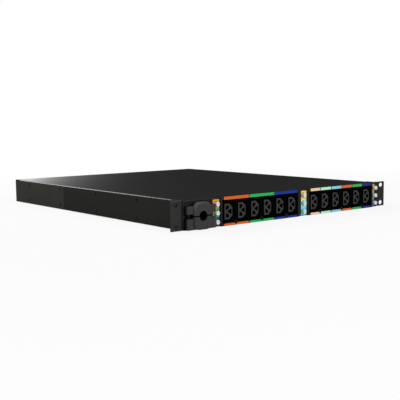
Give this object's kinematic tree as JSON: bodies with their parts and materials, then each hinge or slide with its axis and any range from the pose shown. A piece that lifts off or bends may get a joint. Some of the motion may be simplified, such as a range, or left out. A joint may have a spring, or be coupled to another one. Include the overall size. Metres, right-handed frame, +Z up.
{
  "type": "rack power distribution unit",
  "caption": "One-unit rack power distribution unit: deep black box with folded-sheet body, colour-banded appliance outlets, push-to-reset breakers and a split cord clamp on the front",
  "frame": {"origin": "centre of the four rack holes, on the rear (mounting) face of the rack ears", "axes": "X to the right seen from the front, Y to the rear, Z up"},
  "size_m": [0.4826, 0.5555, 0.0442],
  "materials": {
    "cover_black": "satin black powder coat on folded sheet",
    "panel_black": "matt black powder coat on folded sheet",
    "ear_black": "satin black powder coat on folded sheet",
    "screw_black": "blackened steel",
    "clamp_grey": "moulded, dark grey, satin",
    "bezel_grey": "moulded, dark grey, satin",
    "outlet_black": "moulded, black, fine texture",
    "label_left": "printed film, three colour fields",
    "label_middle": "printed film, three colour fields",
    "label_right": "printed film, three colour fields",
    "band_orange": "printed film",
    "band_green": "printed film",
    "band_blue": "printed film",
    "band_peach": "printed film",
    "band_mint": "printed film",
    "band_pale_blue": "printed film",
    "band_orange_red": "printed film",
    "band_leaf_green": "printed film",
    "band_deep_blue": "printed film",
    "breaker_black": "moulded, black",
    "button_white": "moulded, white",
    "terminal_metal": "plain brass",
    "bus_copper": "plain copper",
    "insulator": "moulded insulator",
    "plain_steel": "plated steel"
  },
  "bodies": {
    "chassis": {"bank_bezel_left": "bezel_grey", "bank_bezel_right": "bezel_grey", "breaker_1": "breaker_black", "breaker_2": "breaker_black", "breaker_3": "breaker_black", "breaker_4": "breaker_black", "breaker_5": "breaker_black", "breaker_6": "breaker_black", "breaker_7": "breaker_black", "breaker_8": "breaker_black", "breaker_9": "breaker_black", "breaker_label_left": "label_left", "breaker_label_middle": "label_middle", "breaker_label_right": "label_right", "breaker_terminals": "terminal_metal", "bus_bar_supports": "insulator", "bus_bars": "bus_copper", "chassis_tray": "cover_black", "clamp_fixing_screws": "plain_steel", "clamp_lower_half": "clamp_grey", "clamp_screws": "screw_black", "clamp_upper_half": "clamp_grey", "colour_band_1": "band_orange", "colour_band_2": "band_green", "colour_band_3": "band_blue", "colour_band_4": "band_peach", "colour_band_5": "band_mint", "colour_band_6": "band_pale_blue", "colour_band_7": "band_orange_red", "colour_band_8": "band_leaf_green", "colour_band_9": "band_deep_blue", "cover_screws": "screw_black", "ear_screws": "screw_black", "earth_stud": "terminal_metal", "front_panel": "panel_black", "input_terminal_block": "insulator", "outlet_module_1": "outlet_black", "outlet_module_2": "outlet_black", "outlet_module_3": "outlet_black", "outlet_module_4": "outlet_black", "outlet_module_5": "outlet_black", "outlet_module_6": "outlet_black", "outlet_module_screws": "screw_black", "outlet_terminals": "terminal_metal", "rack_ear_left": "ear_black", "rack_ear_right": "ear_black", "terminal_block_screws": "plain_steel", "top_cover": "cover_black"},
    "button_1": {"breaker_button_1": "button_white"},
    "button_2": {"breaker_button_2": "button_white"},
    "button_3": {"breaker_button_3": "button_white"},
    "button_4": {"breaker_button_4": "button_white"},
    "button_5": {"breaker_button_5": "button_white"},
    "button_6": {"breaker_button_6": "button_white"},
    "button_7": {"breaker_button_7": "button_white"},
    "button_8": {"breaker_button_8": "button_white"},
    "button_9": {"breaker_button_9": "button_white"}
  },
  "joints": [
    {"name": "button_1_trip", "type": "slide", "parent": "chassis", "child": "button_1", "axis": [0, -1, 0], "range_m": [0, 0.0035]},
    {"name": "button_2_trip", "type": "slide", "parent": "chassis", "child": "button_2", "axis": [0, -1, 0], "range_m": [0, 0.0035]},
    {"name": "button_3_trip", "type": "slide", "parent": "chassis", "child": "button_3", "axis": [0, -1, 0], "range_m": [0, 0.0035]},
    {"name": "button_4_trip", "type": "slide", "parent": "chassis", "child": "button_4", "axis": [0, -1, 0], "range_m": [0, 0.0035]},
    {"name": "button_5_trip", "type": "slide", "parent": "chassis", "child": "button_5", "axis": [0, -1, 0], "range_m": [0, 0.0035]},
    {"name": "button_6_trip", "type": "slide", "parent": "chassis", "child": "button_6", "axis": [0, -1, 0], "range_m": [0, 0.0035]},
    {"name": "button_7_trip", "type": "slide", "parent": "chassis", "child": "button_7", "axis": [0, -1, 0], "range_m": [0, 0.0035]},
    {"name": "button_8_trip", "type": "slide", "parent": "chassis", "child": "button_8", "axis": [0, -1, 0], "range_m": [0, 0.0035]},
    {"name": "button_9_trip", "type": "slide", "parent": "chassis", "child": "button_9", "axis": [0, -1, 0], "range_m": [0, 0.0035]}
  ]
}
